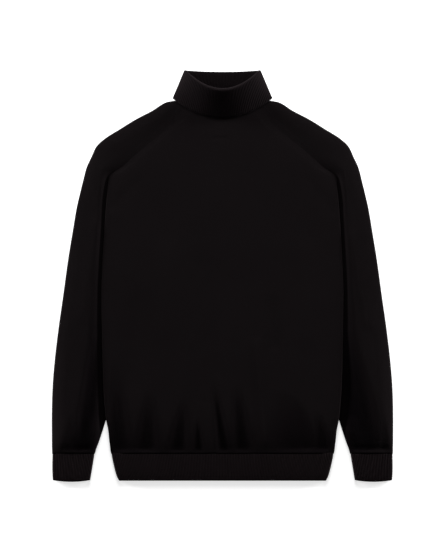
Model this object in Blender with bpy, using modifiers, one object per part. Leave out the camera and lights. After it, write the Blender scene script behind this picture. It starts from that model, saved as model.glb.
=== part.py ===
"""Roll-neck raglan sweater in fine knit, lying on its back on a flat surface.

X runs across, Y runs up the garment from hem to collar, and Z rises from the surface.
Each cut piece is one knitted wall. Its outer face is a grid worked out from a short table of
rows, and a Solidify modifier gives it the thickness of the cloth. The origin is on the surface,
under the middle of the outline. Every length is in metres.
"""

import math
from collections import namedtuple

import bmesh
import bpy
import numpy as np

JERSEY = 0.0015  # wall of the plain knit
RIB_KNIT = 0.0017  # wall of the ribbed knit
SEAM_GAP = 0.0005  # between the edges of two pieces that are sewn together
NECK_GAP = 0.0018  # the same at the collar, whose stand rises steeply from its seam
RIB_DEPTH = 0.0500  # hem and cuffs, from the open edge to the seam
COLLAR_TOP = 0.7575  # from the hem's edge to the collar's top corners, on the middle of the wall
CUFF_DROP = 0.0020  # how far the middle of a cuff hangs past the hem's edge
MIDDLE = (COLLAR_TOP + RIB_KNIT / 2 - CUFF_DROP) / 2  # from the hem's edge to the origin

# The body, from the rib seam to the underarm and on up the raglan seams. At each level: the half
# width, the height of the outer face at the front's and at the back's edge, the radius that
# rounds the side fold, and the height of the front on the centre line.
BodyRow = namedtuple("BodyRow", "up half_width front_edge back_edge nose crown")
BODY = (
    BodyRow(0.0507, 0.2060, 0.0032, 0.0027, 0.0022, 0.0078),
    BodyRow(0.0560, 0.2072, 0.0038, 0.0033, 0.0022, 0.0088),
    BodyRow(0.0640, 0.2080, 0.0046, 0.0041, 0.0022, 0.0098),
    BodyRow(0.0760, 0.2095, 0.0056, 0.0051, 0.0022, 0.0106),
    BodyRow(0.0920, 0.2110, 0.0066, 0.0061, 0.0022, 0.0111),
    BodyRow(0.1120, 0.2150, 0.0074, 0.0069, 0.0022, 0.0113),
    BodyRow(0.1380, 0.2180, 0.0075, 0.0070, 0.0022, 0.0114),
    BodyRow(0.1750, 0.2203, 0.0075, 0.0070, 0.0022, 0.0114),
    BodyRow(0.2200, 0.2220, 0.0075, 0.0070, 0.0022, 0.0113),
    BodyRow(0.2800, 0.2233, 0.0075, 0.0070, 0.0022, 0.0112),
    BodyRow(0.3450, 0.2240, 0.0075, 0.0070, 0.0022, 0.0112),
    BodyRow(0.4080, 0.2220, 0.0075, 0.0070, 0.0022, 0.0112),
    BodyRow(0.4650, 0.2186, 0.0075, 0.0070, 0.0022, 0.0112),
    BodyRow(0.5150, 0.2150, 0.0075, 0.0070, 0.0022, 0.0112),
    BodyRow(0.5450, 0.2120, 0.0075, 0.0068, 0.0022, 0.0112),
    BodyRow(0.5615, 0.2100, 0.0076, 0.0060, 0.0012, 0.0110),
    BodyRow(0.5780, 0.1900, 0.0086, 0.0034, 0.0000, 0.0110),
    BodyRow(0.5948, 0.1690, 0.0093, 0.0012, 0.0000, 0.0109),
    BodyRow(0.6114, 0.1495, 0.0095, 0.0000, 0.0000, 0.0108),
    BodyRow(0.6281, 0.1290, 0.0096, 0.0000, 0.0000, 0.0106),
    BodyRow(0.6447, 0.1085, 0.0096, 0.0000, 0.0000, 0.0104),
    BodyRow(0.6632, 0.0880, 0.0096, 0.0000, 0.0000, 0.0102),
    BodyRow(0.6800, 0.0740, 0.0093, 0.0008, 0.0000, 0.0097),
)
BODY_NECK = 0.0610  # half width of the front and of the back where they meet the collar
SIDE_NOSE = 0.0022  # usual radius of the side fold
FOLD_LIP = 0.0004  # upright strip at the very edge, so that front and back meet face to face
FRONT_RISE = 0.030  # from the side fold inwards until the front is at its crown
BACK_SHELF = 0.016  # beside the fold, where the back lies up on the tucked sleeve
BACK_FALL = 0.030  # from there inwards until the back lies on the surface

# Flat-bottomed hollows above the ribs, shaped like tents. Each runs from its top, where it dies
# out, down to the seam, where it is widest and deepest.
Pleat = namedtuple("Pleat", "across_top across_foot top half_width depth")
BODY_PLEATS = (
    Pleat(-0.198, -0.188, 0.215, 0.022, 0.0034),
    Pleat(-0.133, -0.141, 0.160, 0.022, 0.0034),
    Pleat(-0.072, -0.084, 0.142, 0.018, 0.0032),
    Pleat(-0.046, -0.044, 0.110, 0.010, 0.0022),
    Pleat(-0.015, 0.004, 0.168, 0.012, 0.0032),
    Pleat(0.026, 0.039, 0.168, 0.019, 0.0036),
    Pleat(0.117, 0.140, 0.158, 0.042, 0.0040),
    Pleat(0.176, 0.190, 0.120, 0.014, 0.0028),
)
LEFT_PLEATS = (
    Pleat(0.277, 0.283, 0.120, 0.009, 0.0036),
    Pleat(0.236, 0.259, 0.262, 0.018, 0.0046),
)
RIGHT_PLEATS = (
    Pleat(0.230, 0.268, 0.272, 0.036, 0.0060),
    Pleat(0.296, 0.301, 0.118, 0.006, 0.0026),
)
SLIMMEST_PLEAT = 0.25  # width at its top, as a share of its width at the seam
PLEAT_START = 0.012  # from the seam up until the pleats have their depth
PLEAT_EDGE = 0.020  # a pleat dies out this close to a side fold

# Where the sleeve is sewn to the body: the level on the raglan seam, the point of the outer fold
# across from it, the fold's radius and the sleeve's crown.
RaglanRow = namedtuple("RaglanRow", "up_in across_out up_out fold crown")
RAGLAN = (
    RaglanRow(0.6800, 0.1017, 0.7002, 0.0029, 0.0092),
    RaglanRow(0.6632, 0.1305, 0.6835, 0.0031, 0.0098),
    RaglanRow(0.6447, 0.1620, 0.6669, 0.0032, 0.0101),
    RaglanRow(0.6281, 0.1890, 0.6502, 0.0032, 0.0104),
    RaglanRow(0.6114, 0.2185, 0.6315, 0.0032, 0.0107),
    RaglanRow(0.5948, 0.2335, 0.6170, 0.0032, 0.0110),
    RaglanRow(0.5780, 0.2425, 0.5980, 0.0032, 0.0113),
)
# Down the arm the section is closed. Its inner end slips just under the body's side, then runs
# free. At each row: both ends, the heights of front and back at the inner end, the radii of the
# inner and outer folds, the crown, the width that lies flat under the body, and the width in
# which the sleeve rises from there to its crown.
ArmRow = namedtuple(
    "ArmRow", "across_in up_in across_out up_out high_in nose fold crown tuck rise"
)
ARM = (
    ArmRow(0.2107, 0.5615, 0.2516, 0.5781, 0.0068, 0.0012, 0.0032, 0.0115, 0.002, 0.024),
    ArmRow(0.2128, 0.5450, 0.2570, 0.5575, 0.0044, 0.0018, 0.0032, 0.0118, 0.003, 0.024),
    ArmRow(0.2150, 0.5240, 0.2628, 0.5340, 0.0021, 0.0018, 0.0032, 0.0121, 0.006, 0.024),
    ArmRow(0.2050, 0.4980, 0.2695, 0.5050, 0.0018, 0.0018, 0.0032, 0.0124, 0.015, 0.024),
    ArmRow(0.2050, 0.4600, 0.2768, 0.4620, 0.0018, 0.0018, 0.0032, 0.0127, 0.019, 0.024),
    ArmRow(0.2082, 0.4080, 0.2856, 0.4080, 0.0018, 0.0018, 0.0032, 0.0131, 0.019, 0.024),
    ArmRow(0.2100, 0.3450, 0.2942, 0.3450, 0.0018, 0.0018, 0.0033, 0.0136, 0.018, 0.028),
    ArmRow(0.2093, 0.2800, 0.3034, 0.2800, 0.0018, 0.0018, 0.0034, 0.0141, 0.016, 0.032),
    ArmRow(0.2078, 0.2200, 0.3104, 0.2200, 0.0018, 0.0018, 0.0035, 0.0146, 0.016, 0.036),
    ArmRow(0.2068, 0.1750, 0.3140, 0.1750, 0.0018, 0.0018, 0.0036, 0.0150, 0.017, 0.036),
    ArmRow(0.2085, 0.1400, 0.3153, 0.1400, 0.0018, 0.0018, 0.0036, 0.0152, 0.015, 0.034),
    ArmRow(0.2120, 0.1220, 0.3155, 0.1220, 0.0018, 0.0018, 0.0036, 0.0153, 0.009, 0.032),
    ArmRow(0.2170, 0.1070, 0.3156, 0.1070, 0.0019, 0.0019, 0.0036, 0.0154, 0.004, 0.030),
    ArmRow(0.2230, 0.0880, 0.3155, 0.0880, 0.0028, 0.0028, 0.0036, 0.0154, 0.000, 0.028),
    ArmRow(0.2290, 0.0700, 0.3154, 0.0700, 0.0034, 0.0034, 0.0036, 0.0144, 0.000, 0.028),
    ArmRow(0.2335, 0.0580, 0.3152, 0.0580, 0.0034, 0.0034, 0.0035, 0.0116, 0.000, 0.028),
    ArmRow(0.2358, 0.0508, 0.3148, 0.0508, 0.0033, 0.0033, 0.0034, 0.0086, 0.000, 0.028),
)
INNER_NOSE, OUTER_FOLD = 0.0018, 0.0033  # usual radii of a sleeve's two folds
RAGLAN_RISE = 0.036  # from the raglan seam outwards until the sleeve is at its crown
OUTER_FALL = 0.034  # from the crown outwards to the outer fold
SETTLE = 0.020  # from the inner end outwards until the sleeve's back lies on the surface

# Ribbed bands, from the open edge to the seam: both ends, the radius of the folds and the crown.
BandRow = namedtuple("BandRow", "up across_in across_out fold crown")
HEM = (
    BandRow(0.0000, -0.1915, 0.1915, 0.0029, 0.0064),
    BandRow(0.0080, -0.1955, 0.1955, 0.0030, 0.0070),
    BandRow(0.0260, -0.2005, 0.2005, 0.0031, 0.0076),
    BandRow(RIB_DEPTH, -0.2052, 0.2052, 0.0031, 0.0078),
)
CUFF = (
    BandRow(0.0010, 0.2445, 0.3136, 0.0033, 0.0078),
    BandRow(0.0100, 0.2430, 0.3143, 0.0034, 0.0084),
    BandRow(0.0280, 0.2400, 0.3148, 0.0034, 0.0086),
    BandRow(RIB_DEPTH, 0.2366, 0.3146, 0.0034, 0.0084),
)
CUFF_SAG = 0.0010 + CUFF_DROP  # how far the cuff's open edge bows out below its ends
BAND_RISE = 0.020  # from a band's fold inwards until it is at its crown

# The collar is one ring, up inside as the stand, over the rim and down outside. Each of its three
# lines round the neck has a half width, and a level and a height at the sides, at the middle of
# the front and at the middle of the back, all on the middle of the wall.
RingLine = namedtuple(
    "RingLine", "half_width up_side up_front up_back high_side high_front high_back"
)
NECK_SEAM = RingLine(0.0840, 0.7040, 0.6850, 0.7110, 0.0048, 0.0096, 0.0034)
RIM = RingLine(0.0685, COLLAR_TOP, 0.7225, 0.7550, 0.0068, 0.0300, 0.0022)
LOWER_EDGE = RingLine(0.0915, 0.7060, 0.6706, 0.7165, 0.0066, 0.0122, 0.0009)
RIM_RADIUS_FRONT = 0.0026  # how the wall's middle turns over at the rim
RIM_RADIUS_BACK = 0.0013
FLATTENING = 0.7  # below 1, the ring's front is flatter than an ellipse
COLLAR_STATIONS = 32
STAND_STEPS, FOLD_STEPS, TURNDOWN_STEPS = 2, 4, 2

Finish = namedtuple("Finish", "name colour roughness")
JERSEY_FINISH = Finish("black_jersey", (0.0060, 0.0050, 0.0056, 1.0), 0.92)
RIB_FINISH = Finish("black_rib", (0.0070, 0.0060, 0.0066, 1.0), 0.90)


def nose(distance, radius):
    """Height of a quarter circle of this radius, at a distance in from its upright end."""
    inside = np.clip(distance, 0.0, radius)
    return np.sqrt(np.maximum(radius**2 - (radius - inside) ** 2, 0.0))


def eased(share):
    """0 to 1 with level ends."""
    share = np.clip(share, 0.0, 1.0)
    return share * share * (3.0 - 2.0 * share)


def rounded(share):
    """0 to 1, steep at first and level at the end."""
    return 1.0 - (1.0 - np.clip(share, 0.0, 1.0)) ** 2


def columns_across(start_round, shares, end_round, steps=3):
    """Rows of (share of the width, fixed distance): evenly round each end, and at the shares."""
    bend = 1.0 - np.cos(np.linspace(0.0, math.pi / 2, steps))
    start, end = start_round * bend, -end_round * bend[::-1]
    shares = np.concatenate([0.0 * start, shares, 0.0 * end + 1.0])
    distances = np.concatenate([start, np.zeros(len(shares) - 2 * steps), end])
    return np.column_stack([shares, distances])


def even_shares(count):
    return np.arange(1, count + 1) / (count + 1)


def sunk_by(pleats, across, up):
    """How far the pleats sink the cloth: flat-bottomed hollows that widen down to the seam."""
    sunk = 0.0 * across
    for pleat in pleats:
        share = np.clip((pleat.top - up) / (pleat.top - RIB_DEPTH), 0.0, 1.0)
        centre = pleat.across_top + (pleat.across_foot - pleat.across_top) * share
        width = pleat.half_width * (SLIMMEST_PLEAT + (1.0 - SLIMMEST_PLEAT) * share)
        sunk = sunk + pleat.depth * rounded(share) * np.exp(-np.abs((across - centre) / width) ** 3)
    return sunk * eased((up - RIB_DEPTH) / PLEAT_START)


def ring_point(line, angle):
    """A point of a ring line. The angle turns from the right side over the front to the left."""
    lift = abs(math.sin(angle))
    front = math.sin(angle) >= 0.0
    up_end = line.up_front if front else line.up_back
    high_end = line.high_front if front else line.high_back
    up = line.up_side + (up_end - line.up_side) * lift**2
    high = line.high_side + (high_end - line.high_side) * lift**FLATTENING
    return np.array((line.half_width * math.cos(angle), up, high))


def ring_frame(angle):
    """Seam point and rim point, the direction up the stand and the direction out of the neck."""
    seam = ring_point(NECK_SEAM, angle)
    rim = ring_point(RIM, angle)
    upward = (rim - seam) / np.linalg.norm(rim - seam)
    out = np.array((math.cos(angle) ** 3, 0.0, math.sin(angle)))
    out -= upward * out.dot(upward)
    return seam, rim, upward, out / np.linalg.norm(out)


def neck_edge(angle):
    """Outer face of the jersey where it is sewn to the collar's stand."""
    seam, _, upward, out = ring_frame(angle)
    return seam + out * JERSEY / 2 - upward * NECK_GAP


NECK_ANGLE = math.acos(BODY_NECK / NECK_SEAM.half_width)  # where a raglan seam meets the collar
NECK_ANGLE_GAP = SEAM_GAP / NECK_SEAM.half_width


def body_grid(shares, front):
    """Outer face of the front or the back, row by row from the rib seam to the neck."""
    columns = columns_across(SIDE_NOSE, shares, SIDE_NOSE)
    columns = np.concatenate([columns[:1], columns, columns[-1:]])
    grid = []
    for row in BODY:
        across = (2.0 * columns[:, 0] - 1.0) * row.half_width + columns[:, 1]
        inward = row.half_width - np.abs(across)
        lip = FOLD_LIP * row.nose / SIDE_NOSE
        if front:
            high = row.front_edge + nose(inward, row.nose)
            high += (row.crown - row.front_edge - row.nose) * rounded(inward / FRONT_RISE)
            high -= sunk_by(BODY_PLEATS, across, row.up) * rounded(inward / PLEAT_EDGE)
        else:
            shelf = max(row.back_edge - lip - row.nose, 0.0)
            high = row.back_edge - nose(inward, row.nose)
            high -= shelf * eased((inward - BACK_SHELF) / BACK_FALL)
        high[1:-1] += lip if front else -lip
        grid.append(np.column_stack([across, np.full_like(across, row.up), high]))
    share = columns[:, 0] + columns[:, 1] / (2.0 * BODY_NECK)
    turn = NECK_ANGLE + (math.pi - 2.0 * NECK_ANGLE) * (1.0 - share)
    grid.append(np.array([neck_edge(angle if front else -angle) for angle in turn]))
    return np.array(grid)


def raglan_as_arm(row):
    """A raglan row in full: its inner end lies on the body's seam, and it has no inner fold."""
    body = next(level for level in BODY if level.up == row.up_in)
    across_in = body.half_width + math.sqrt(2.0) * SEAM_GAP
    ends = (across_in, row.up_in, row.across_out, row.up_out)
    arm = ArmRow(*ends, 0.0, 0.0, row.fold, row.crown, 0.0, RAGLAN_RISE)
    return arm, body.front_edge, body.back_edge


def sleeve_section(row, front_in, back_in, over, under, pleats):
    """One section of the right sleeve: over the front to the outer fold, and back beneath."""
    start = np.array((row.across_in, row.up_in))
    run = np.array((row.across_out, row.up_out)) - start
    width = np.linalg.norm(run)
    layers = []
    for columns in (over, under):
        inward = columns[:, 0] * width + columns[:, 1]
        share = inward / width
        place = start + run * share[:, None]
        outer_round = row.fold - nose(width - inward, row.fold)
        inner_round = row.nose - nose(inward, row.nose)
        if columns is over:
            flat = (front_in + row.nose) * (1.0 - share) + 2.0 * row.fold * share
            lift = eased((inward - row.tuck) / row.rise) * rounded((width - inward) / OUTER_FALL)
            edge = rounded(inward / PLEAT_EDGE) * rounded((width - inward) / PLEAT_EDGE)
            high = flat - inner_round - outer_round + (row.crown - flat) * lift
            high -= sunk_by(pleats, place[:, 0], place[:, 1]) * edge
        else:
            high = (back_in - row.nose) * (1.0 - eased(inward / SETTLE)) + inner_round + outer_round
        layers.append(np.column_stack([place, high]))
    return np.concatenate([layers[0], layers[1][::-1][1:]])


def sleeve_grid(pleats):
    """Outer face of the right sleeve, section by section from the neck to the cuff seam."""
    over = columns_across(INNER_NOSE, even_shares(6), OUTER_FOLD)
    under = columns_across(INNER_NOSE, even_shares(2), OUTER_FOLD)
    turn = np.linspace(NECK_ANGLE - NECK_ANGLE_GAP, 0.0, len(over))
    back_turn = np.linspace(0.0, NECK_ANGLE_GAP - NECK_ANGLE, len(under))
    sections = [np.array([neck_edge(angle) for angle in np.append(turn, back_turn[1:])])]
    for row in RAGLAN:
        arm, front_in, back_in = raglan_as_arm(row)
        sections.append(sleeve_section(arm, front_in, back_in, over, under, pleats))
    for row in ARM:
        sections.append(sleeve_section(row, row.high_in, row.high_in, over, under, pleats))
    return np.array(sections)


def band_grid(rows, over, under, sag):
    """Outer face of a ribbed band, from its open edge to the seam, all the way round."""
    grid = []
    foot, top = rows[0].up, rows[-1].up
    for row in rows:
        width = row.across_out - row.across_in
        layers = []
        for columns in (over, under):
            inward = columns[:, 0] * width + columns[:, 1]
            edge = np.minimum(inward, width - inward)
            drop = sag * (1.0 - (2.0 * inward / width - 1.0) ** 2) * (top - row.up) / (top - foot)
            if columns is over:
                high = row.fold + nose(edge, row.fold)
                high += (row.crown - 2.0 * row.fold) * rounded(edge / BAND_RISE)
            else:
                high = row.fold - nose(edge, row.fold)
            layers.append(np.column_stack([row.across_in + inward, row.up - drop, high]))
        grid.append(np.concatenate([layers[0], layers[1][::-1][1:]]))
    return np.array(grid)


def collar_grid():
    """Middle of the collar's wall: for each station round the neck, up the stand and over."""
    grid = []
    for angle in np.linspace(0.0, 2.0 * math.pi, COLLAR_STATIONS, endpoint=False):
        seam, rim, upward, out = ring_frame(angle)
        edge = ring_point(LOWER_EDGE, angle)
        front = max(math.sin(angle), 0.0)
        radius = RIM_RADIUS_BACK + (RIM_RADIUS_FRONT - RIM_RADIUS_BACK) * front**FLATTENING
        centre = rim - upward * radius
        line = [seam + (centre - out * radius - seam) * step / STAND_STEPS for step in range(STAND_STEPS)]
        for step in range(FOLD_STEPS + 1):
            bend = math.pi * step / FOLD_STEPS
            line.append(centre + radius * (upward * math.sin(bend) - out * math.cos(bend)))
        over = centre + out * radius
        line += [over + (edge - over) * step / TURNDOWN_STEPS for step in range(1, TURNDOWN_STEPS + 1)]
        grid.append(np.array(line))
    return np.array(grid)


def finish_material(finish):
    material = bpy.data.materials.new(finish.name)
    material.use_nodes = True
    shader = material.node_tree.nodes["Principled BSDF"]
    shader.inputs["Base Color"].default_value = finish.colour
    shader.inputs["Roughness"].default_value = finish.roughness
    shader.inputs["Metallic"].default_value = 0.0
    return material


def knit_piece(name, grid, wall, material, ring=False, turned=False, mirrored=False, on_middle=False):
    """A grid of points made one knitted piece. A ring's last row joins its first."""
    rows, columns = grid.shape[:2]
    points = grid.reshape(-1, 3) - np.array((0.0, MIDDLE, 0.0))
    if mirrored:
        points = points * np.array((-1.0, 1.0, 1.0))
    shape = bmesh.new()
    vertices = [shape.verts.new(point) for point in points]
    for row in range(rows if ring else rows - 1):
        following = (row + 1) % rows
        for column in range(columns - 1):
            corners = [
                vertices[row * columns + column],
                vertices[row * columns + column + 1],
                vertices[following * columns + column + 1],
                vertices[following * columns + column],
            ]
            shape.faces.new(corners[::-1] if turned != mirrored else corners)
    bmesh.ops.remove_doubles(shape, verts=shape.verts, dist=1e-6)
    mesh = bpy.data.meshes.new(name)
    shape.to_mesh(mesh)
    shape.free()
    mesh.shade_smooth()
    mesh.materials.append(material)
    piece = bpy.data.objects.new(name, mesh)
    cloth = piece.modifiers.new("cloth", "SOLIDIFY")
    cloth.thickness = wall
    cloth.offset = 0.0 if on_middle else -1.0
    sweater.objects.link(piece)
    return piece


for old in list(bpy.data.objects):
    bpy.data.objects.remove(old, do_unlink=True)
sweater = bpy.data.collections.new("turtleneck_sweater")
bpy.context.scene.collection.children.link(sweater)

jersey = finish_material(JERSEY_FINISH)
rib = finish_material(RIB_FINISH)

front_shares = np.concatenate([[0.02], even_shares(20), [0.98]])
back_shares = np.array((0.038, 0.072, 0.106, 0.5, 0.894, 0.928, 0.962))
knit_piece("front_panel", body_grid(front_shares, front=True), JERSEY, jersey)
knit_piece("back_panel", body_grid(back_shares, front=False), JERSEY, jersey, turned=True)

knit_piece("sleeve_right", sleeve_grid(RIGHT_PLEATS), JERSEY, jersey, turned=True)
knit_piece("sleeve_left", sleeve_grid(LEFT_PLEATS), JERSEY, jersey, turned=True, mirrored=True)

hem_over = columns_across(HEM[0].fold, even_shares(12), HEM[0].fold)
hem_under = columns_across(HEM[0].fold, even_shares(3), HEM[0].fold)
knit_piece("hem_rib", band_grid(HEM, hem_over, hem_under, 0.0), RIB_KNIT, rib)

cuff_over = columns_across(CUFF[0].fold, even_shares(4), CUFF[0].fold)
cuff_under = columns_across(CUFF[0].fold, even_shares(2), CUFF[0].fold)
cuff = band_grid(CUFF, cuff_over, cuff_under, CUFF_SAG)
knit_piece("cuff_right", cuff, RIB_KNIT, rib)
knit_piece("cuff_left", cuff, RIB_KNIT, rib, mirrored=True)

knit_piece("collar", collar_grid(), RIB_KNIT, rib, ring=True, on_middle=True)
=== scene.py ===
"""Roll-neck raglan sweater in fine black wool, lying on its back on a pale floor.

X runs across the garment, Y runs up it from hem to collar, and Z rises from the floor. Levels up
the garment are counted from the hem's open edge. Every length is in metres.
"""

import math

import bpy
import numpy as np
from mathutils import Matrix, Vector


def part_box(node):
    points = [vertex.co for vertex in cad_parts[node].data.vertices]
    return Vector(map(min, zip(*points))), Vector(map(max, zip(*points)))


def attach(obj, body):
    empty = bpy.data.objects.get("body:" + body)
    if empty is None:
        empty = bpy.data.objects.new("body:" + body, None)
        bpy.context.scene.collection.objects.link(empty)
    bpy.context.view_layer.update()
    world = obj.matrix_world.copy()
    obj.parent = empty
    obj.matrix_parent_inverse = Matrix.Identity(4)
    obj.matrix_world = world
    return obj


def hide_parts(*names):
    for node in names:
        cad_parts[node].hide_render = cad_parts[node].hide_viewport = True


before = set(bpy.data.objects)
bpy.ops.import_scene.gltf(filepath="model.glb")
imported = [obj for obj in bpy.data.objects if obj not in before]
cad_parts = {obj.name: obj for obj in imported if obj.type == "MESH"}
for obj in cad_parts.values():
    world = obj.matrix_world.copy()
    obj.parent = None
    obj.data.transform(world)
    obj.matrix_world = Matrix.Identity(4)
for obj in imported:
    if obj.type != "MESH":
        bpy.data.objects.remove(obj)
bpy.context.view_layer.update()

# ---------------------------------------------------------------------------------------------
# Front panel. One piece of stocking stitch in fine black wool with a short nap, from the hem rib
# to the collar. It is shaped along its raglan edges and linked to the sleeves there and to the
# back at the sides, and blouses over the hem rib in soft pleats that open downwards.
# ---------------------------------------------------------------------------------------------
WALE, COURSE = 0.00185, 0.00135  # one stitch of the plain knit, across and along
JERSEY_RELIEF = 0.0004
LOOP_SLANT = 1.1  # courses that a loop's leg climbs for each wale across
LOOP_SHARE = 0.6  # the part of a leg's relief that comes and goes with the loops
JERSEY_COLOURS = ((0.0022, 0.0015, 0.0017, 1.0), (0.0034, 0.0025, 0.0028, 1.0))
# Near-black colour of painted shade, laid over the wool in pleats, above the hem, beside the body and
# under the collar's rim.
PAINTED_SHADE_COLOUR = (0.0006, 0.0002, 0.0005, 1.0)
NAP_TINT = (0.80, 0.68, 0.72, 1.0)
NAP_PATCHES = ((9.0, 3.0), (260.0, 2.0), (1400.0, 1.0))  # scale and detail of the three patterns
NAP_RELIEF, NAP_ROUGHNESS = 0.35, (0.82, 0.98)
FLECK_SHARE = 0.35  # the finer patterns' part in the shade, beside the cloud's
MARK_ASIDE, MARK_PITCH = 0.0095, 0.0085  # from the raglan seam, and from mark to mark along it
MARK_WIDTH, MARK_LENGTH = 0.0017, 0.36  # half sizes: across in metres, along as a part of the pitch
MARK_LIGHTNESS = 0.9


def add_node(tree, kind, **settings):
    """A new node with its properties and its named inputs set from settings."""
    node = tree.nodes.new(kind)
    for key, value in settings.items():
        if hasattr(node, key):
            setattr(node, key, value)
        else:
            node.inputs[key].default_value = value
    return node


def new_group(name, inputs, outputs):
    """A shader node group with float inputs (name, default) and outputs (name, socket type)."""
    group = bpy.data.node_groups.new(name, "ShaderNodeTree")
    for label, default in inputs:
        socket = group.interface.new_socket(label, in_out="INPUT", socket_type="NodeSocketFloat")
        socket.default_value = default
    for label, kind in outputs:
        group.interface.new_socket(label, in_out="OUTPUT", socket_type=kind)
    return group, group.nodes.new("NodeGroupInput"), group.nodes.new("NodeGroupOutput")


def maths(tree, operation, first, second=None):
    """A Math node. Each operand is a number or another node's socket."""
    node = tree.nodes.new("ShaderNodeMath")
    node.operation = operation
    for slot, operand in enumerate((first, second)):
        if operand is None:
            continue
        if isinstance(operand, (int, float)):
            node.inputs[slot].default_value = operand
        else:
            tree.links.new(operand, node.inputs[slot])
    return node.outputs[0]


def mixed_colour(tree, share, first, second, clamped=True):
    """A Mix node from one colour to another. Each is a colour or another node's socket."""
    node = add_node(tree, "ShaderNodeMix", data_type="RGBA", clamp_factor=clamped)
    tree.links.new(share, node.inputs[0])
    sockets = [socket for socket in node.inputs if socket.type == "RGBA"]
    for socket, colour in zip(sockets, (first, second)):
        if isinstance(colour, tuple):
            socket.default_value = colour
        else:
            tree.links.new(colour, socket)
    return next(socket for socket in node.outputs if socket.type == "RGBA")


def knit_group():
    """Height of stocking stitch over the piece's own UV map, which is in metres.

    Across a wale, the height is 0 in the furrows and at the wale's middle and 1 on the middle of
    each leg: a leg is the hump of a sine. Along the knit a second sine, shifted by the distance
    from the wale's middle, slants the loops into a row of Vs.
    """
    group, given, result = new_group(
        "stocking_stitch", (("Wale", WALE), ("Course", COURSE)), (("Height", "NodeSocketFloat"),)
    )
    uv = add_node(group, "ShaderNodeUVMap", uv_map="knit")
    split = group.nodes.new("ShaderNodeSeparateXYZ")
    group.links.new(uv.outputs[0], split.inputs[0])
    across = maths(group, "DIVIDE", split.outputs[0], given.outputs["Wale"])
    along = maths(group, "DIVIDE", split.outputs[1], given.outputs["Course"])
    middle = maths(group, "SUBTRACT", maths(group, "FRACT", across), 0.5)
    aside = maths(group, "ABSOLUTE", middle)
    leg = maths(group, "SINE", maths(group, "MULTIPLY", aside, 2.0 * math.pi))
    slant = maths(group, "ADD", along, maths(group, "MULTIPLY", aside, LOOP_SLANT))
    loop = maths(group, "SINE", maths(group, "MULTIPLY", slant, 2.0 * math.pi))
    loop = maths(group, "MULTIPLY", maths(group, "ADD", loop, 1.0), 0.5)
    loop = maths(group, "ADD", maths(group, "MULTIPLY", loop, LOOP_SHARE), 1.0 - LOOP_SHARE)
    group.links.new(maths(group, "MULTIPLY", leg, loop), result.inputs["Height"])
    return group


def yarn_group():
    """Uneven dye and nap over the cloth: a soft cloud, a mottle two stitches wide and a fine fleck.

    Nap is the mean of the last two. Shade goes from the cloud to Nap as Fleck goes from 0 to 1,
    and mixes a material's darker colour with its lighter one.
    """
    outputs = (("Shade", "NodeSocketFloat"), ("Nap", "NodeSocketFloat"))
    group, given, result = new_group("yarn_shade", (("Fleck", FLECK_SHARE),), outputs)
    place = group.nodes.new("ShaderNodeTexCoord")
    patches = []
    for scale, detail in NAP_PATCHES:
        noise = add_node(group, "ShaderNodeTexNoise", Scale=scale, Detail=detail)
        group.links.new(place.outputs["Object"], noise.inputs["Vector"])
        patches.append(noise.outputs["Fac"])
    cloud, mottle, fleck = patches
    mottle, fleck = (maths(group, "MULTIPLY", patch, 0.5) for patch in (mottle, fleck))
    fine = maths(group, "ADD", mottle, fleck)
    mixed = maths(group, "MULTIPLY", fine, given.outputs["Fleck"])
    rest = maths(group, "SUBTRACT", 1.0, given.outputs["Fleck"])
    shade = maths(group, "ADD", mixed, maths(group, "MULTIPLY", cloud, rest))
    group.links.new(shade, result.inputs["Shade"])
    group.links.new(fine, result.inputs["Nap"])
    return group


def marks_group():
    """Fully fashioned marks: a row of short raised stitches beside the raglan seams.

    The point attribute "seam" holds the distance from the seam and the distance along it. A mark
    is 1 - d^2 across the row times 1 - d^2 along it, where d runs from the middle of each stitch.
    """
    group, _, result = new_group("fashioning_marks", (), (("Mark", "NodeSocketFloat"),))
    place = add_node(group, "ShaderNodeAttribute", attribute_name="seam")
    split = group.nodes.new("ShaderNodeSeparateXYZ")
    group.links.new(place.outputs["Vector"], split.inputs[0])
    aside = maths(group, "SUBTRACT", split.outputs[0], MARK_ASIDE)
    along = maths(group, "FRACT", maths(group, "DIVIDE", split.outputs[1], MARK_PITCH))
    along = maths(group, "SUBTRACT", along, 0.5)
    parts = []
    for distance, reach in ((aside, MARK_WIDTH), (along, MARK_LENGTH)):
        scaled = maths(group, "DIVIDE", distance, reach)
        near = maths(group, "SUBTRACT", 1.0, maths(group, "MULTIPLY", scaled, scaled))
        parts.append(maths(group, "MAXIMUM", near, 0.0))
    group.links.new(maths(group, "MULTIPLY", parts[0], parts[1]), result.inputs["Mark"])
    return group


stocking_stitch = knit_group()
yarn_shade = yarn_group()
fashioning_marks = marks_group()


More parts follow.
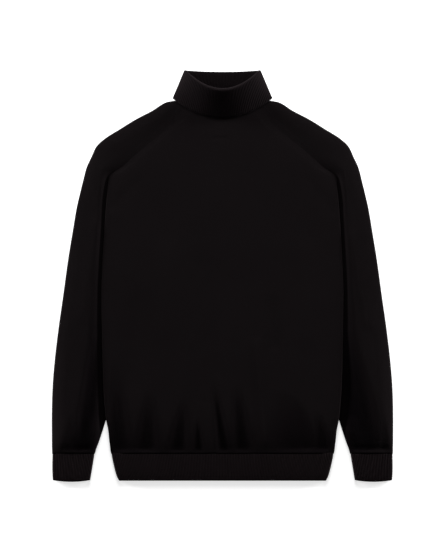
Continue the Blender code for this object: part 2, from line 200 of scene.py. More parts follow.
def wool(name, colours, wale, course, relief):
    """Matt black wool over the knit's relief. Two dye shades are mixed by the yarn's own variation,
    and painted shade darkens the colour to near-black where the point attribute for it rises to 1."""
    material = bpy.data.materials.new(name)
    material.use_nodes = True
    tree = material.node_tree
    shader = tree.nodes["Principled BSDF"]
    shader.inputs["Specular IOR Level"].default_value = 0.02
    shader.inputs["Sheen Weight"].default_value = 0.012
    shader.inputs["Sheen Roughness"].default_value = 0.42
    shader.inputs["Sheen Tint"].default_value = NAP_TINT
    shade = add_node(tree, "ShaderNodeGroup", node_tree=yarn_shade)
    stitch = add_node(tree, "ShaderNodeGroup", node_tree=stocking_stitch, Wale=wale, Course=course)
    mark = add_node(tree, "ShaderNodeGroup", node_tree=fashioning_marks).outputs["Mark"]
    lightness = maths(tree, "MULTIPLY", mark, MARK_LIGHTNESS)
    lightness = maths(tree, "ADD", shade.outputs["Shade"], lightness)
    open_colour = mixed_colour(tree, lightness, *colours, clamped=False)
    # Painted shade: where this point attribute rises to 1 the colour goes to near-black.
    painted_shade = add_node(tree, "ShaderNodeAttribute", attribute_name="painted_shade")
    colour = mixed_colour(tree, painted_shade.outputs["Fac"], open_colour, PAINTED_SHADE_COLOUR)
    tree.links.new(colour, shader.inputs["Base Color"])
    rough = add_node(tree, "ShaderNodeMapRange")
    rough.inputs["To Min"].default_value, rough.inputs["To Max"].default_value = NAP_ROUGHNESS
    tree.links.new(shade.outputs["Nap"], rough.inputs["Value"])
    tree.links.new(rough.outputs["Result"], shader.inputs["Roughness"])
    nap = maths(tree, "MULTIPLY", shade.outputs["Nap"], NAP_RELIEF)
    height = maths(tree, "ADD", stitch.outputs["Height"], nap)
    height = maths(tree, "ADD", height, mark)
    bump = add_node(tree, "ShaderNodeBump", Strength=0.45, Distance=relief)
    tree.links.new(height, bump.inputs["Height"])
    tree.links.new(bump.outputs["Normal"], shader.inputs["Normal"])
    return material


jersey = wool("black_jersey", JERSEY_COLOURS, WALE, COURSE, JERSEY_RELIEF)

HEM_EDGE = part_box("hem_rib")[0].y
RIB_DEPTH = 0.0500
JERSEY_WALL = 0.0014
SEAM_GAP = 0.0004  # between a body panel and a sleeve, round the neck
BODY = np.array([
    # up, half width, front's edge, back's edge, side fold, crown
    (0.0498, 0.2060, 0.0034, 0.0023, 0.0022, 0.0081),
    (0.0560, 0.2072, 0.0038, 0.0033, 0.0022, 0.0088),
    (0.0640, 0.2080, 0.0046, 0.0041, 0.0022, 0.0096),
    (0.0760, 0.2095, 0.0056, 0.0051, 0.0022, 0.0104),
    (0.0920, 0.2110, 0.0066, 0.0061, 0.0022, 0.0110),
    (0.1120, 0.2150, 0.0074, 0.0069, 0.0022, 0.0113),
    (0.1380, 0.2180, 0.0075, 0.0070, 0.0022, 0.0114),
    (0.1750, 0.2203, 0.0075, 0.0070, 0.0022, 0.0114),
    (0.2200, 0.2220, 0.0075, 0.0070, 0.0022, 0.0113),
    (0.2800, 0.2233, 0.0075, 0.0070, 0.0022, 0.0112),
    (0.3450, 0.2240, 0.0075, 0.0070, 0.0022, 0.0112),
    (0.4080, 0.2220, 0.0075, 0.0070, 0.0022, 0.0112),
    (0.4650, 0.2186, 0.0075, 0.0070, 0.0022, 0.0112),
    (0.5150, 0.2150, 0.0075, 0.0070, 0.0022, 0.0112),
    (0.5450, 0.2120, 0.0075, 0.0068, 0.0022, 0.0112),
    (0.5615, 0.2100, 0.0076, 0.0060, 0.0012, 0.0110),
    (0.5780, 0.1900, 0.0086, 0.0034, 0.0000, 0.0110),
    (0.5948, 0.1690, 0.0093, 0.0012, 0.0000, 0.0109),
    (0.6114, 0.1495, 0.0095, 0.0000, 0.0000, 0.0108),
    (0.6281, 0.1290, 0.0096, 0.0000, 0.0000, 0.0106),
    (0.6447, 0.1085, 0.0096, 0.0000, 0.0000, 0.0104),
    (0.6632, 0.0880, 0.0096, 0.0000, 0.0000, 0.0102),
    (0.6800, 0.0740, 0.0093, 0.0008, 0.0000, 0.0097),
])
BODY_NECK = 0.0610
UNDERARM = 0.5615
FRONT_COLUMNS, FRONT_STEP = 168, 0.0030
FRONT_RISE, BACK_SHELF, BACK_FALL = 0.030, 0.016, 0.030
RAGLAN_LEAN, RAGLAN_RUN = 0.657, 1.52  # level gained for each metre along the seam, and its inverse
MARKS_START = 0.004  # the fashioning marks start this far above the underarm
EDGE_FADE, SHORT_FADE = 0.020, 0.012  # relief dies out within one or the other of a fold
PLEAT_TOP = 0.35  # a pleat's width at its top, as a part of its width at the foot
PLEAT_FADE = 0.012  # pleats die out within this of the rib
DEPTH_TO_PAINTED_SHADE = 150.0  # painted shade: share of the colour darkened, for each metre that a pleat sinks
PAINTED_SHADE_SPREAD, PAINTED_SHADE_FADE = 1.3, 0.002  # the painted shade is wider than its pleat, and runs lower
BLOUSE_SHADE, BLOUSE_TOP, BLOUSE_DEEP = 0.22, 0.135, 0.075  # painted shade all along above the hem
ARCH_POWER = 0.7  # the neck's height goes as this power, from its sides to its middle
# Neck seam, rim and lower edge of the collar: half width, level at the sides, front and back, and
# height at the sides, front and back.
NECK_SEAM = (0.0840, 0.7040, 0.6850, 0.7110, 0.0048, 0.0096, 0.0034)
RIM = (0.0685, 0.7575, 0.7225, 0.7550, 0.0068, 0.0300, 0.0022)
LOWER_EDGE = (0.0915, 0.7060, 0.6706, 0.7165, 0.0066, 0.0122, 0.0009)
NECK_GAP = 0.0016
NECK_ANGLE = math.acos(BODY_NECK / NECK_SEAM[0])
BODY_PLEATS = (
    # across at top and foot, level of the top, half width and depth at the foot
    (-0.198, -0.188, 0.215, 0.022, 0.0030),
    (-0.133, -0.141, 0.165, 0.023, 0.0028),
    (-0.072, -0.084, 0.148, 0.019, 0.0026),
    (-0.046, -0.044, 0.115, 0.011, 0.0018),
    (-0.015, 0.004, 0.175, 0.013, 0.0026),
    (0.026, 0.039, 0.175, 0.020, 0.0029),
    (0.117, 0.140, 0.163, 0.043, 0.0034),
    (0.176, 0.190, 0.125, 0.015, 0.0023),
)
FRONT_CREASES = (
    # from across, up to across, up, half width, height (below 0 for a trough)
    (-0.018, 0.632, 0.008, 0.633, 0.0022, -0.0007),
    (-0.100, 0.420, -0.105, 0.280, 0.030, 0.0010),
    (-0.150, 0.330, -0.172, 0.180, 0.030, -0.0012),
    (-0.040, 0.400, -0.025, 0.260, 0.022, -0.0010),
    (0.090, 0.330, 0.096, 0.250, 0.015, -0.0010),
    (0.150, 0.420, 0.155, 0.270, 0.030, 0.0010),
    (0.062, 0.250, 0.080, 0.075, 0.016, 0.0012),
    (-0.160, 0.552, -0.200, 0.505, 0.013, -0.0007),
    (0.160, 0.554, 0.200, 0.500, 0.014, -0.0007),
)


def through(place, values, at):
    """Values at places between the rows of a table: cubic pieces through every row. Each slope is
    the harmonic mean of the slopes beside it, or 0 at a turn, so that nothing overshoots."""
    gap = np.diff(place)[:, None]
    rise = np.diff(values, axis=0) / gap
    before, after = rise[:-1], rise[1:]
    total = np.where(before * after > 0.0, before + after, 1.0)
    inner = np.where(before * after > 0.0, 2.0 * before * after / total, 0.0)
    slope = np.concatenate([rise[:1], inner, rise[-1:]])
    low = np.clip(np.searchsorted(place, at, side="right") - 1, 0, len(gap) - 1)
    share = ((at - place[low]) / gap[low, 0])[:, None]
    one, two, three = share, share**2, share**3
    return (
        values[low] * (2 * three - 3 * two + 1)
        + values[low + 1] * (3 * two - 2 * three)
        + slope[low] * gap[low] * (three - 2 * two + one)
        + slope[low + 1] * gap[low] * (three - two)
    )


def nose(distance, radius):
    """Height of a quarter circle of this radius, at a distance in from its upright end."""
    inside = np.clip(distance, 0.0, radius)
    return np.sqrt(np.maximum(radius**2 - (radius - inside) ** 2, 0.0))


def eased(share):
    """0 to 1 with level ends: 3s^2 - 2s^3."""
    share = np.clip(share, 0.0, 1.0)
    return share * share * (3.0 - 2.0 * share)


def rounded(share):
    """0 to 1, steep at first and level at the end: 1 - (1 - s)^2."""
    return 1.0 - (1.0 - np.clip(share, 0.0, 1.0)) ** 2


def columns_across(start_round, end_round, count, steps=7):
    """Columns as shares of the width plus fixed distances: evenly round both folds, and evenly
    from the end of the first fold to the start of the second."""
    bend = 1.0 - np.cos(np.linspace(0.0, math.pi / 2, steps))
    even = np.linspace(0.0, 1.0, count + 2)[1:-1]
    share = np.concatenate([0.0 * bend, even, 0.0 * bend + 1.0])
    flat = start_round * (1.0 - even) - end_round * even
    fixed = np.concatenate([start_round * bend, flat, -end_round * bend[::-1]])
    return share, fixed


def pleats_at(pleats, across, up, fade=PLEAT_FADE):
    """Depth of the tent-shaped pleats: each is flat-bottomed across, as exp(-d^3), widens straight
    from its top down to the rib, and deepens as 1 - (1 - s)^2. All die out within fade of the rib."""
    depth = 0.0 * across
    for top_across, foot_across, top, half_width, foot_depth in pleats:
        share = np.clip((top - up) / (top - RIB_DEPTH), 0.0, 1.0)
        centre = top_across + (foot_across - top_across) * share
        width = half_width * (PLEAT_TOP + (1.0 - PLEAT_TOP) * share)
        depth = depth + foot_depth * rounded(share) * np.exp(-np.abs((across - centre) / width) ** 3)
    return depth * eased((up - RIB_DEPTH) / fade)


def creases_at(creases, across, up):
    """Height of long soft creases: exp(-2 d^2), where d is the distance from the crease's line or
    from its nearer end, over its half width."""
    height = 0.0 * across
    for x1, y1, x2, y2, half_width, high in creases:
        length = math.hypot(x2 - x1, y2 - y1)
        along = ((across - x1) * (x2 - x1) + (up - y1) * (y2 - y1)) / length
        aside = ((across - x1) * (y2 - y1) - (up - y1) * (x2 - x1)) / length
        past = np.maximum(np.maximum(-along, along - length), 0.0)
        height = height + high * np.exp(-2.0 * (aside**2 + past**2) / half_width**2)
    return height


def ring_points(line, angle):
    """Points of a line round the neck. The angle turns from the right side over the front to the
    left: across goes as the cosine, the level as the sine squared, the height as its 0.7 power."""
    half_width, up_side, up_front, up_back, high_side, high_front, high_back = line
    lift = np.abs(np.sin(angle))
    front = np.sin(angle) >= 0.0
    up = up_side + (np.where(front, up_front, up_back) - up_side) * lift**2
    high = high_side + (np.where(front, high_front, high_back) - high_side) * lift**ARCH_POWER
    return np.stack([half_width * np.cos(angle), up, high], axis=-1)


def ring_frame(angle):
    """Seam and rim points, the direction up the stand, and the direction out of the neck. The last
    goes across as the cosine cubed and in height as the sine, and is made square to the stand."""
    seam, rim = ring_points(NECK_SEAM, angle), ring_points(RIM, angle)
    upward = (rim - seam) / np.linalg.norm(rim - seam, axis=-1, keepdims=True)
    out = np.stack([np.cos(angle) ** 3, 0.0 * angle, np.sin(angle)], axis=-1)
    out = out - upward * np.sum(out * upward, axis=-1, keepdims=True)
    return seam, rim, upward, out / np.linalg.norm(out, axis=-1, keepdims=True)


def neck_edge(angle):
    """Outer face of the jersey where it is linked to the collar's stand."""
    seam, _, upward, out = ring_frame(angle)
    return seam + out * JERSEY_WALL / 2 - upward * NECK_GAP


def between(sections, step):
    """Smooth rows carried through a short list of sections, about one step apart."""
    sections = np.array(sections)
    moved = np.linalg.norm(np.diff(sections.mean(axis=1), axis=0), axis=1)
    place = np.concatenate([[0.0], np.cumsum(moved)])
    at = np.linspace(0.0, place[-1], int(place[-1] / step) + 1)
    rows = through(place, sections.reshape(len(sections), -1), at)
    return rows.reshape(len(at), -1, 3)


def four_corners(ids, turned):
    """The corners of every face between the rows and columns of ids, the other way round if turned."""
    corners = [ids[:-1, :-1], ids[:-1, 1:], ids[1:, 1:], ids[1:, :-1]]
    return np.stack(corners[::-1] if turned else corners, axis=-1).reshape(-1, 4)


def knit_coordinates(points):
    """Distances over the cloth in metres, across from each row's middle and along each column."""
    across = np.cumsum(np.linalg.norm(np.diff(points, axis=1, prepend=points[:, :1]), axis=2), axis=1)
    across = across - across[:, across.shape[1] // 2][:, None]
    along = np.cumsum(np.linalg.norm(np.diff(points, axis=0, prepend=points[:1]), axis=2), axis=0)
    return np.stack([across, along.mean(axis=1, keepdims=True) + 0.0 * across], axis=-1)


def raglan_place(distance, up):
    """Distance from the raglan seam, and distance along it, which is the level above the underarm
    times a fixed run. Lower down the first is a whole metre, out of reach of the marks."""
    away = np.where(up > UNDERARM + MARKS_START, distance, 1.0)
    return np.stack([away, (up - UNDERARM) * RAGLAN_RUN, 0.0 * up], axis=-1)


def cloth(name, points, wall, material, painted_shade, seam=None, ring=False, turned=False, on_middle=False):
    """A grid of points made one knitted piece with its wall. A ring's last row joins its first. The
    points are the outer face, or the middle of the wall where on_middle says so."""
    rows, columns = points.shape[:2]
    ids = np.arange(rows * columns).reshape(rows, columns)
    if ring:
        ids = np.concatenate([ids, ids[:1]])
    faces = four_corners(ids, turned)
    knit = knit_coordinates(np.concatenate([points, points[:1]]) if ring else points)
    knit_ids = np.arange(knit.shape[0] * columns).reshape(-1, columns)
    knit_faces = four_corners(knit_ids, turned).ravel()
    mesh = bpy.data.meshes.new(name)
    mesh.vertices.add(rows * columns)
    mesh.vertices.foreach_set("co", (points + (0.0, HEM_EDGE, 0.0)).astype(np.float32).ravel())
    mesh.loops.add(faces.size)
    mesh.loops.foreach_set("vertex_index", faces.ravel().astype(np.int32))
    mesh.polygons.add(len(faces))
    mesh.polygons.foreach_set("loop_start", np.arange(0, faces.size, 4, dtype=np.int32))
    uv = mesh.uv_layers.new(name="knit")
    uv.data.foreach_set("uv", knit.reshape(-1, 2)[knit_faces].astype(np.float32).ravel())
    mesh.update(calc_edges=True)
    mesh.validate()
    mesh.shade_smooth()
    mesh.materials.append(material)
    # Painted shade at each point, from 0 to 1.
    depth = mesh.attributes.new("painted_shade", "FLOAT", "POINT")
    depth.data.foreach_set("value", np.clip(painted_shade, 0.0, 1.0).astype(np.float32).ravel())
    place = mesh.attributes.new("seam", "FLOAT_VECTOR", "POINT")
    seam = np.ones_like(points) if seam is None else seam
    place.data.foreach_set("vector", seam.astype(np.float32).ravel())
    piece = bpy.data.objects.new(name, mesh)
    bpy.context.scene.collection.objects.link(piece)
    thickness = piece.modifiers.new("wall", "SOLIDIFY")
    thickness.thickness = wall
    thickness.offset = 0.0 if on_middle else -1.0
    return piece


def body_sections(share, fixed, front):
    """Outer face of the front or the back at each row of the body's table, and round the neck. Both
    go round the side fold by a quarter circle. The front then rises to its crown by rounded, and
    the back sinks to the floor by eased."""
    sections = []
    for up, half_width, front_edge, back_edge, fold, crown in BODY:
        across = (2.0 * share - 1.0) * half_width + fixed
        inward = half_width - np.abs(across)
        if front:
            high = front_edge + nose(inward, fold)
            high = high + (crown - front_edge - fold) * rounded(inward / FRONT_RISE)
        else:
            shelf = max(back_edge - fold, 0.0)
            high = back_edge - nose(inward, fold) - shelf * eased((inward - BACK_SHELF) / BACK_FALL)
        sections.append(np.stack([across, 0.0 * across + up, high], axis=-1))
    turn = NECK_ANGLE + (math.pi - 2.0 * NECK_ANGLE) * (1.0 - share - fixed / (2.0 * BODY_NECK))
    sections.append(neck_edge(turn if front else -turn))
    return sections


side_fold = BODY[0, 4]
share, fixed = columns_across(side_fold, side_fold, FRONT_COLUMNS)
front = between(body_sections(share, fixed, True), FRONT_STEP)
edge_distance = np.abs(front[:, :1, 0]) - np.abs(front[:, :, 0])
across, up = front[:, :, 0], front[:, :, 1]
front[:, :, 2] -= pleats_at(BODY_PLEATS, across, up) * rounded(edge_distance / EDGE_FADE)
front[:, :, 2] += creases_at(FRONT_CREASES, across, up) * rounded(edge_distance / SHORT_FADE)
# Painted shade: the colour is darkened over the pleats, a little wider than them, and all along above
# the hem.
wide_pleats = [
    (top_across, foot_across, top, half_width * PAINTED_SHADE_SPREAD, foot_depth)
    for top_across, foot_across, top, half_width, foot_depth in BODY_PLEATS
]
painted_shade = pleats_at(wide_pleats, across, up, PAINTED_SHADE_FADE) * DEPTH_TO_PAINTED_SHADE
painted_shade = painted_shade + BLOUSE_SHADE * eased((BLOUSE_TOP - up) / BLOUSE_DEEP)
seam = raglan_place(edge_distance * RAGLAN_LEAN, up)
front_panel = cloth("front_panel_cloth", front, JERSEY_WALL, jersey, painted_shade, seam)
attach(front_panel, "root")
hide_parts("front_panel")

# ---------------------------------------------------------------------------------------------
# Back panel. The same cut as the front, a little higher at the neck. It lies flat on the floor
# and lifts along both sides, where it lies on the tucked edges of the sleeves.
# ---------------------------------------------------------------------------------------------
BACK_COLUMNS, BACK_STEP = 90, 0.0060
BACK_CREASES = (
    (-0.090, 0.300, -0.110, 0.120, 0.012, 0.0012),
    (0.060, 0.340, 0.075, 0.110, 0.014, 0.0012),
    (-0.020, 0.560, 0.060, 0.520, 0.012, 0.0010),
    (0.110, 0.220, 0.135, 0.080, 0.010, 0.0012),
    (-0.150, 0.200, -0.130, 0.070, 0.009, 0.0010),
)

share, fixed = columns_across(side_fold, side_fold, BACK_COLUMNS)
back = between(body_sections(share, fixed, False), BACK_STEP)
back[:, :, 2] += creases_at(BACK_CREASES, back[:, :, 0], back[:, :, 1])
edge_distance = np.abs(back[:, :1, 0]) - np.abs(back[:, :, 0])
seam = raglan_place(edge_distance * RAGLAN_LEAN, back[:, :, 1])
painted_shade = 0.0 * edge_distance
back_panel = cloth("back_panel_cloth", back, JERSEY_WALL, jersey, painted_shade, seam, turned=True)
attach(back_panel, "root")
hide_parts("back_panel")

# ---------------------------------------------------------------------------------------------
# Sleeves. Each is one piece of stocking stitch folded along its outer edge and joined under the
# arm, with a raglan head that runs up to the collar. The arm's inner edge slips under the body.
# ---------------------------------------------------------------------------------------------
RAGLAN = (
    # level on the raglan seam, outer fold across and up, its radius, crown, width of the rise
    (0.6800, 0.1017, 0.7002, 0.0029, 0.0092, 0.036),
    (0.6632, 0.1305, 0.6835, 0.0031, 0.0098, 0.036),
    (0.6447, 0.1620, 0.6669, 0.0032, 0.0101, 0.036),
    (0.6281, 0.1890, 0.6502, 0.0032, 0.0104, 0.036),
    (0.6114, 0.2185, 0.6315, 0.0032, 0.0107, 0.034),
    (0.5948, 0.2335, 0.6170, 0.0032, 0.0108, 0.030),
    (0.5780, 0.2425, 0.5980, 0.0032, 0.0110, 0.024),
)
ARM = (
    # inner end across and up, outer fold across and up, height and radius of the inner end,
    # radius of the outer fold, crown, width tucked under the body, width of the rise from there
    (0.2084, 0.5615, 0.2516, 0.5781, 0.0062, 0.0012, 0.0032, 0.0117, 0.001, 0.022),
    (0.2084, 0.5450, 0.2570, 0.5575, 0.0026, 0.0018, 0.0032, 0.0115, 0.003, 0.018),
    (0.2084, 0.5240, 0.2628, 0.5340, 0.0019, 0.0018, 0.0032, 0.0110, 0.005, 0.018),
    (0.2050, 0.4980, 0.2695, 0.5050, 0.0018, 0.0018, 0.0032, 0.0108, 0.010, 0.018),
    (0.2050, 0.4600, 0.2768, 0.4620, 0.0018, 0.0018, 0.0032, 0.0109, 0.012, 0.018),
    (0.2082, 0.4080, 0.2856, 0.4080, 0.0018, 0.0018, 0.0032, 0.0111, 0.012, 0.018),
    (0.2100, 0.3450, 0.2942, 0.3450, 0.0018, 0.0018, 0.0033, 0.0115, 0.012, 0.022),
    (0.2093, 0.2800, 0.3034, 0.2800, 0.0018, 0.0018, 0.0034, 0.0124, 0.012, 0.030),
    (0.2078, 0.2200, 0.3104, 0.2200, 0.0018, 0.0018, 0.0035, 0.0136, 0.013, 0.036),
    (0.2068, 0.1750, 0.3140, 0.1750, 0.0018, 0.0018, 0.0036, 0.0145, 0.014, 0.040),
    (0.2085, 0.1400, 0.3153, 0.1400, 0.0018, 0.0018, 0.0036, 0.0150, 0.011, 0.040),
    (0.2120, 0.1220, 0.3155, 0.1220, 0.0018, 0.0018, 0.0036, 0.0152, 0.008, 0.038),
    (0.2170, 0.1070, 0.3156, 0.1070, 0.0019, 0.0019, 0.0036, 0.0154, 0.004, 0.030),
    (0.2230, 0.0880, 0.3155, 0.0880, 0.0028, 0.0028, 0.0036, 0.0154, 0.000, 0.028),
    (0.2290, 0.0700, 0.3154, 0.0700, 0.0034, 0.0034, 0.0036, 0.0144, 0.000, 0.028),
    (0.2335, 0.0580, 0.3152, 0.0580, 0.0034, 0.0034, 0.0035, 0.0116, 0.000, 0.028),
    (0.2356, 0.0498, 0.3150, 0.0498, 0.0035, 0.0035, 0.0036, 0.0089, 0.000, 0.028),
)
OVER_COLUMNS, UNDER_COLUMNS, SLEEVE_STEP = 56, 20, 0.0032
INNER_ROUND, OUTER_ROUND = 0.0018, 0.0035  # the folds' usual radii, which the columns go round by
SEAM_SPREAD = 0.010  # beside the raglan seam the first columns spread over this much instead
OUTER_FALL, SETTLE = 0.034, 0.020
SLEEVE_LEAN = 0.84  # distance from the raglan seam for each metre along a sleeve's section
SHADE_START = 0.014  # the body's side is about this far out from the sleeve's inner end
# Painted shade on the sleeve's inner side, where it lies in the body's shadow.
INNER_SHADE = np.array([
    # level, reach outwards from the body's side, share of the colour darkened by painted shade
    (0.050, 0.034, 0.40),
    (0.190, 0.036, 0.54),
    (0.260, 0.030, 0.50),
    (0.310, 0.020, 0.34),
    (0.410, 0.012, 0.20),
    (0.560, 0.008, 0.06),
])
SEAM_LAP, SEAM_DIP = 0.0012, 0.00005  # how far the sleeve goes in under the raglan edge, and down
SLEEVES = {
    # which side, pleats and creases, both listed as on the body's front and as for a right sleeve
    "left": (
        -1.0,
        ((0.277, 0.283, 0.125, 0.015, 0.0022), (0.236, 0.259, 0.262, 0.018, 0.0040)),
        ((0.236, 0.470, 0.262, 0.300, 0.014, 0.0010),),
    ),
    "right": (
        1.0,
        ((0.230, 0.268, 0.272, 0.036, 0.0050), (0.296, 0.301, 0.122, 0.010, 0.0014)),
        ((0.240, 0.450, 0.268, 0.290, 0.014, 0.0010),),
    ),
}


def sleeve_section(row, front_in, back_in, over, under):
    """One section of a right sleeve: over the front to the outer fold, and back beneath it. Both
    folds are quarter circles. The front goes straight from one to the other, lifted towards its
    crown by rounded from either side. The back sinks to the floor by eased."""
    across_in, up_in, across_out, up_out, _, inner, fold, crown, tuck, rise = row
    run = np.array((across_out - across_in, up_out - up_in))
    width = np.linalg.norm(run)
    layers = []
    for (share, fixed), on_front in ((over, True), (under, False)):
        inward = share * width + fixed
        share = inward / width
        outer_round = fold - nose(width - inward, fold)
        inner_round = inner - nose(inward, inner)
        if on_front:
            flat = (front_in + inner) * (1.0 - share) + 2.0 * fold * share
            lift = rounded((inward - tuck) / rise) * rounded((width - inward) / OUTER_FALL)
            high = flat - inner_round - outer_round + (crown - flat) * lift
        else:
            high = (back_in - inner) * (1.0 - eased(inward / SETTLE)) + inner_round + outer_round
        layers.append(np.stack([across_in + run[0] * share, up_in + run[1] * share, high], axis=-1))
    front_layer, back_layer = layers
    return np.concatenate([front_layer, back_layer[::-1][1:]])


over, under, raglan_over, raglan_under = (
    columns_across(first, OUTER_ROUND, count)
    for first in (INNER_ROUND, SEAM_SPREAD)
    for count in (OVER_COLUMNS, UNDER_COLUMNS)
)
angle_gap = SEAM_GAP / NECK_SEAM[0]
turn = np.linspace(NECK_ANGLE - angle_gap, 0.0, len(over[0]))
back_turn = np.linspace(0.0, angle_gap - NECK_ANGLE, len(under[0]))
sections = [neck_edge(np.concatenate([turn, back_turn[1:]]))]
for up, across_out, up_out, fold, crown, rise in RAGLAN:
    half_width, front_edge, back_edge = BODY[BODY[:, 0] == up][0, 1:4]
    row = (half_width - SEAM_LAP, up, across_out, up_out, 0.0, 0.0, fold, crown, 0.0, rise)
    ends = (front_edge - SEAM_DIP, back_edge + SEAM_DIP)
    sections.append(sleeve_section(row, *ends, raglan_over, raglan_under))
for row in ARM:
    sections.append(sleeve_section(row, row[4], row[4], over, under))
sleeve_shape = between(sections, SLEEVE_STEP)
top_columns = len(over[0])

for side, (hand, pleats, creases) in SLEEVES.items():
    shape = sleeve_shape.copy()
    top = shape[:, :top_columns]
    across, up = top[:, :, 0], top[:, :, 1]
    inner_edge = np.linalg.norm(top[:, :, :2] - top[:, :1, :2], axis=2)
    outer_edge = np.linalg.norm(top[:, :, :2] - top[:, -1:, :2], axis=2)
    fade = rounded(inner_edge / EDGE_FADE) * rounded(outer_edge / EDGE_FADE)
    sunk = pleats_at(pleats, across, up)
    top[:, :, 2] -= sunk * fade
    top[:, :, 2] += creases_at(creases, across, up) * fade
    # Painted shade: darker colour over the sleeve's pleats and beside the body.
    reach, dark = (np.interp(up, INNER_SHADE[:, 0], INNER_SHADE[:, column]) for column in (1, 2))
    beside = np.maximum(inner_edge - SHADE_START, 0.0)
    painted_shade = 0.0 * shape[:, :, 0]
    painted_shade[:, :top_columns] = sunk * DEPTH_TO_PAINTED_SHADE * rounded(outer_edge / SHORT_FADE)
    painted_shade[:, :top_columns] += dark * np.exp(-((beside / reach) ** 3))
    away = np.linalg.norm(shape[:, :, :2] - shape[:, :1, :2], axis=2)
    seam = raglan_place(away * SLEEVE_LEAN, shape[:, :, 1])
    shape = shape * (hand, 1.0, 1.0)
    sleeve = cloth(f"sleeve_{side}_cloth", shape, JERSEY_WALL, jersey, painted_shade, seam, turned=hand > 0.0)
    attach(sleeve, "root")
    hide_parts(f"sleeve_{side}")

# ---------------------------------------------------------------------------------------------
# Hem rib and cuffs. Tubes of one-by-one rib in the same wool, linked on under the bloused jersey.
# They draw the cloth in a little and finish on a plain open edge.
# ---------------------------------------------------------------------------------------------
HEM = (
    # level, both ends, radius of the folds, crown, how far the back is off the floor
    (0.0000, -0.1915, 0.1915, 0.0029, 0.0064, 0.0000),
    (0.0080, -0.1955, 0.1955, 0.0030, 0.0070, 0.0000),
    (0.0260, -0.2005, 0.2005, 0.0031, 0.0076, 0.0000),
    (0.0480, -0.2049, 0.2049, 0.0030, 0.0078, 0.0001),
    (0.0500, -0.2051, 0.2051, 0.0029, 0.0078, 0.0004),
    (0.0535, -0.2040, 0.2040, 0.0020, 0.0060, 0.0018),
)
CUFF = (
    (0.0010, 0.2445, 0.3136, 0.0033, 0.0078, 0.0000),
    (0.0100, 0.2430, 0.3143, 0.0034, 0.0084, 0.0000),
    (0.0280, 0.2400, 0.3148, 0.0034, 0.0086, 0.0000),
    (0.0480, 0.2369, 0.3143, 0.0033, 0.0085, 0.0001),
    (0.0500, 0.2367, 0.3144, 0.0032, 0.0085, 0.0004),
    (0.0535, 0.2375, 0.3130, 0.0022, 0.0067, 0.0018),
)
CUFF_SAG = 0.0030  # how far the middle of the open edge hangs below its corners
BAND_RISE, BAND_STEP = 0.020, 0.0025
RIB_WALL = 0.0015
RIB_PITCH = 0.0029  # one raised rib and one furrow
RIB_HEIGHT, RIB_COLUMNS = 0.00035, 6
RIB_RELIEF = 0.0003
# Lighter than the jersey's colours: painted light, which makes up for the shade in the rib's furrows.
RIB_COLOURS = ((0.0038, 0.0026, 0.0030, 1.0), (0.0060, 0.0042, 0.0047, 1.0))

rib_knit = wool("black_rib", RIB_COLOURS, RIB_PITCH, COURSE, RIB_RELIEF)


def band_points(rows, sag):
    """A flattened tube of rib, round at both folds by a quarter circle and raised to its crown by
    rounded. Columns are spaced evenly by the rib, and each point is moved in or out by the cosine
    of its place across the ribs. The open edge sags as 1 - d^2 from its middle."""
    foot, top = rows[0][0], rows[-1][0]
    ribs = round((rows[-1][2] - rows[-1][1]) / RIB_PITCH)
    even = np.linspace(0.0, 1.0, ribs * RIB_COLUMNS + 1)
    wave = np.cos(2.0 * math.pi * ribs * even)
    sections = []
    for up, left, right, fold, crown, base in rows:
        width = right - left
        inward = even * width
        edge = np.minimum(inward, width - inward)
        drop = sag * (1.0 - (2.0 * even - 1.0) ** 2) * (top - up) / (top - foot)
        high = base + fold + nose(edge, fold)
        high = high + (crown - base - 2.0 * fold) * rounded(edge / BAND_RISE)
        low = base + fold - nose(edge, fold)
        relief = RIB_HEIGHT * wave * rounded(edge / fold)
        over = np.stack([left + inward, up - drop, high + relief], axis=-1)
        under = np.stack([left + inward, up - drop, low - relief + RIB_HEIGHT], axis=-1)
        sections.append(np.concatenate([over, under[::-1][1:]]))
    return between(sections, BAND_STEP)


for name, node, points, hand, size in (
    ("hem_rib_cloth", "hem_rib", band_points(HEM, 0.0), 1.0, (0.82, 0.05)),
    ("cuff_right_cloth", "cuff_right", band_points(CUFF, CUFF_SAG), 1.0, (0.16, 0.052)),
    ("cuff_left_cloth", "cuff_left", band_points(CUFF, CUFF_SAG), -1.0, (0.16, 0.052)),
):
    points = points * (hand, 1.0, 1.0)
    band = cloth(name, points, RIB_WALL, rib_knit, 0.0 * points[:, :, 0], turned=hand < 0.0)
    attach(band, "root")
    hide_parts(node)

# ---------------------------------------------------------------------------------------------
# Collar. A deep tube of wool rib, linked to the neck, that stands up and turns down outside over
# its own seam. Lying down, its front arches open above the back.
# ---------------------------------------------------------------------------------------------
RIM_RADIUS_FRONT, RIM_RADIUS_BACK = 0.0036, 0.0013
STAND_STEPS, FOLD_STEPS, TURNDOWN_STEPS = 10, 10, 20
RING_SAMPLES = 4001
COLLAR_COLOURS = ((0.0030, 0.0021, 0.0024, 1.0), (0.0045, 0.0032, 0.0036, 1.0))
# Painted shade down the middle of the turn-down, which hangs in shade: where its middle is and its
# half width, at the rim and at the lower edge, and the share of the colour that it darkens.
SHADE_TOP, SHADE_FOOT, SHADE_DEPTH = (0.0055, 0.048), (0.000, 0.033), 0.32

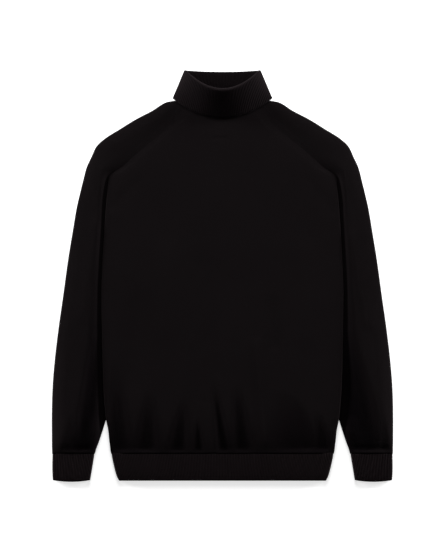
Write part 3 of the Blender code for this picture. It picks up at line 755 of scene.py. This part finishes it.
collar_knit = wool("black_rib_collar", COLLAR_COLOURS, RIB_PITCH, COURSE, RIB_RELIEF)
dense = np.linspace(0.0, 2.0 * math.pi, RING_SAMPLES)
rim_line = (ring_points(RIM, dense) + ring_points(NECK_SEAM, dense)) / 2.0
run = np.concatenate([[0.0], np.cumsum(np.linalg.norm(np.diff(rim_line, axis=0), axis=1))])
collar_ribs = round(run[-1] / RIB_PITCH)
stations = collar_ribs * RIB_COLUMNS
angle = np.interp(np.arange(stations) / stations * run[-1], run, dense)
seam, rim, upward, out = ring_frame(angle)
lower = ring_points(LOWER_EDGE, angle)
front_share = np.maximum(np.sin(angle), 0.0)[:, None]
radius = RIM_RADIUS_BACK + (RIM_RADIUS_FRONT - RIM_RADIUS_BACK) * front_share**ARCH_POWER
centre = rim - upward * radius
wave = RIB_HEIGHT * np.cos(2.0 * math.pi * collar_ribs * np.arange(stations) / stations)[:, None]
lines = []
for share in np.arange(STAND_STEPS) / STAND_STEPS:
    lines.append(seam + (centre - out * radius - seam) * share - out * wave)
for bend in np.linspace(0.0, math.pi, FOLD_STEPS + 1):
    away = upward * math.sin(bend) - out * math.cos(bend)
    lines.append(centre + (radius + wave) * away)
over_rim = centre + out * radius
for share in np.arange(1, TURNDOWN_STEPS + 1) / TURNDOWN_STEPS:
    lines.append(over_rim + (lower - over_rim) * share + out * wave)
points = np.stack(lines, axis=1)
down = np.linspace(0.0, 1.0, TURNDOWN_STEPS)
half_width = SHADE_TOP[1] + (SHADE_FOOT[1] - SHADE_TOP[1]) * down
aside = points[:, -TURNDOWN_STEPS:, 0] - SHADE_TOP[0] - (SHADE_FOOT[0] - SHADE_TOP[0]) * down
# Painted shade down the middle of the turn-down, on the front only.
painted_shade = 0.0 * points[:, :, 0]
painted_shade[:, -TURNDOWN_STEPS:] = SHADE_DEPTH * np.exp(-((aside / half_width) ** 4)) * (front_share > 0.0)
collar = cloth("collar_cloth", points, RIB_WALL, collar_knit, painted_shade, ring=True, on_middle=True)
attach(collar, "root")
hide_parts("collar")

# ---------------------------------------------------------------------------------------------
# Studio. A plain white floor, one broad light from beyond the collar, two low ones from the upper
# sides, and a long lens straight above.
# ---------------------------------------------------------------------------------------------
WHITE = (0.80, 0.80, 0.80, 1.0)
LIGHTS = {
    # azimuth from +Y towards +X in degrees, elevation, distance, width, height, power
    "light_top": (0.0, 30.0, 2.6, 1.2, 0.9, 58.0),
    "light_left": (-68.0, 5.5, 4.5, 1.8, 0.4, 710.0),
    "light_right": (68.0, 5.5, 4.5, 1.8, 0.4, 710.0),
}
FRAME_HEIGHT, LENS, SENSOR = 1.0286, 175.0, 36.0
FRAME_MIDDLE = (0.0028, -0.0036)
FLOOR_HALF, FLOOR_LEVEL = 6.0, -0.0004
FLOOR_GLOW, SKY_GLOW = 0.62, 0.22

floor_mesh = bpy.data.meshes.new("floor")
floor_corners = ((-1.0, -1.0), (1.0, -1.0), (1.0, 1.0), (-1.0, 1.0))
floor_mesh.from_pydata(
    [(across * FLOOR_HALF, along * FLOOR_HALF, FLOOR_LEVEL) for across, along in floor_corners],
    [],
    [(0, 1, 2, 3)],
)
floor = bpy.data.objects.new("floor", floor_mesh)
bpy.context.scene.collection.objects.link(floor)
paper = bpy.data.materials.new("white_paper")
paper.use_nodes = True
paper_shader = paper.node_tree.nodes["Principled BSDF"]
paper_shader.inputs["Base Color"].default_value = WHITE
paper_shader.inputs["Roughness"].default_value = 1.0
paper_shader.inputs["Specular IOR Level"].default_value = 0.0
paper_shader.inputs["Emission Color"].default_value = (1.0, 1.0, 1.0, 1.0)
paper_shader.inputs["Emission Strength"].default_value = FLOOR_GLOW
floor_mesh.materials.append(paper)

world = bpy.data.worlds.new("studio")
world.use_nodes = True
world.node_tree.nodes["Background"].inputs["Color"].default_value = (1.0, 1.0, 1.0, 1.0)
world.node_tree.nodes["Background"].inputs["Strength"].default_value = SKY_GLOW
bpy.context.scene.world = world
bpy.context.scene.view_settings.view_transform = "Standard"

for name, (azimuth, elevation, distance, width, height, power) in LIGHTS.items():
    lamp = bpy.data.lights.new(name, "AREA")
    lamp.shape = "RECTANGLE"
    lamp.size = width
    lamp.size_y = height
    lamp.energy = power
    light = bpy.data.objects.new(name, lamp)
    turn, rise = math.radians(azimuth), math.radians(elevation)
    light.location = (
        distance * math.sin(turn) * math.cos(rise),
        distance * math.cos(turn) * math.cos(rise),
        distance * math.sin(rise),
    )
    light.rotation_mode = "QUATERNION"
    light.rotation_quaternion = light.location.to_track_quat("Z", "Y")
    bpy.context.scene.collection.objects.link(light)

view = bpy.data.cameras.new("camera")
view.sensor_width = SENSOR
view.lens = LENS
camera = bpy.data.objects.new("camera", view)
camera.location = (*FRAME_MIDDLE, LENS / SENSOR * FRAME_HEIGHT)
bpy.context.scene.collection.objects.link(camera)
bpy.context.scene.camera = camera
